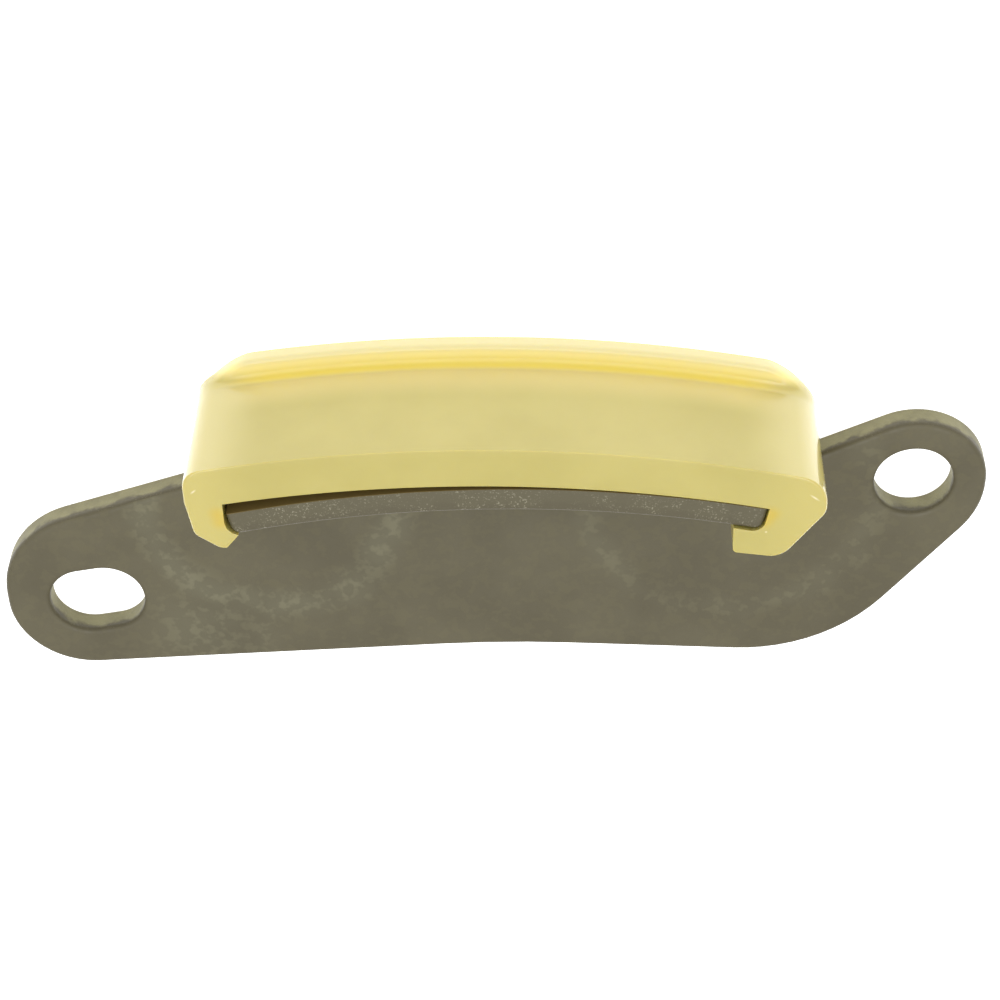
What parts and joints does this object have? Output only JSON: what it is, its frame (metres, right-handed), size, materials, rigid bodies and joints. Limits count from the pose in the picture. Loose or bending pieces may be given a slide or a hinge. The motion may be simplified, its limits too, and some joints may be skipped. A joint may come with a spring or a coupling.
{
  "type": "timing chain guide",
  "caption": "Curved nylon shoe clipped over the arched flange of a folded steel bracket; bolts beside a timing chain and guides its run.",
  "frame": {"origin": "centre of the round locating hole, on the plate's mounting face", "axes": "+Z out of the mounting face towards the flange's edge, +X along the flange towards the locating hole, +Y towards the chain"},
  "size_m": [0.1154, 0.0459, 0.018],
  "materials": {
    "phosphated_steel": "phosphate coated, dull",
    "natural_nylon": "moulded, satin, slightly translucent"
  },
  "bodies": {
    "root": {"bracket": "phosphated_steel", "shoe": "natural_nylon"}
  },
  "joints": []
}
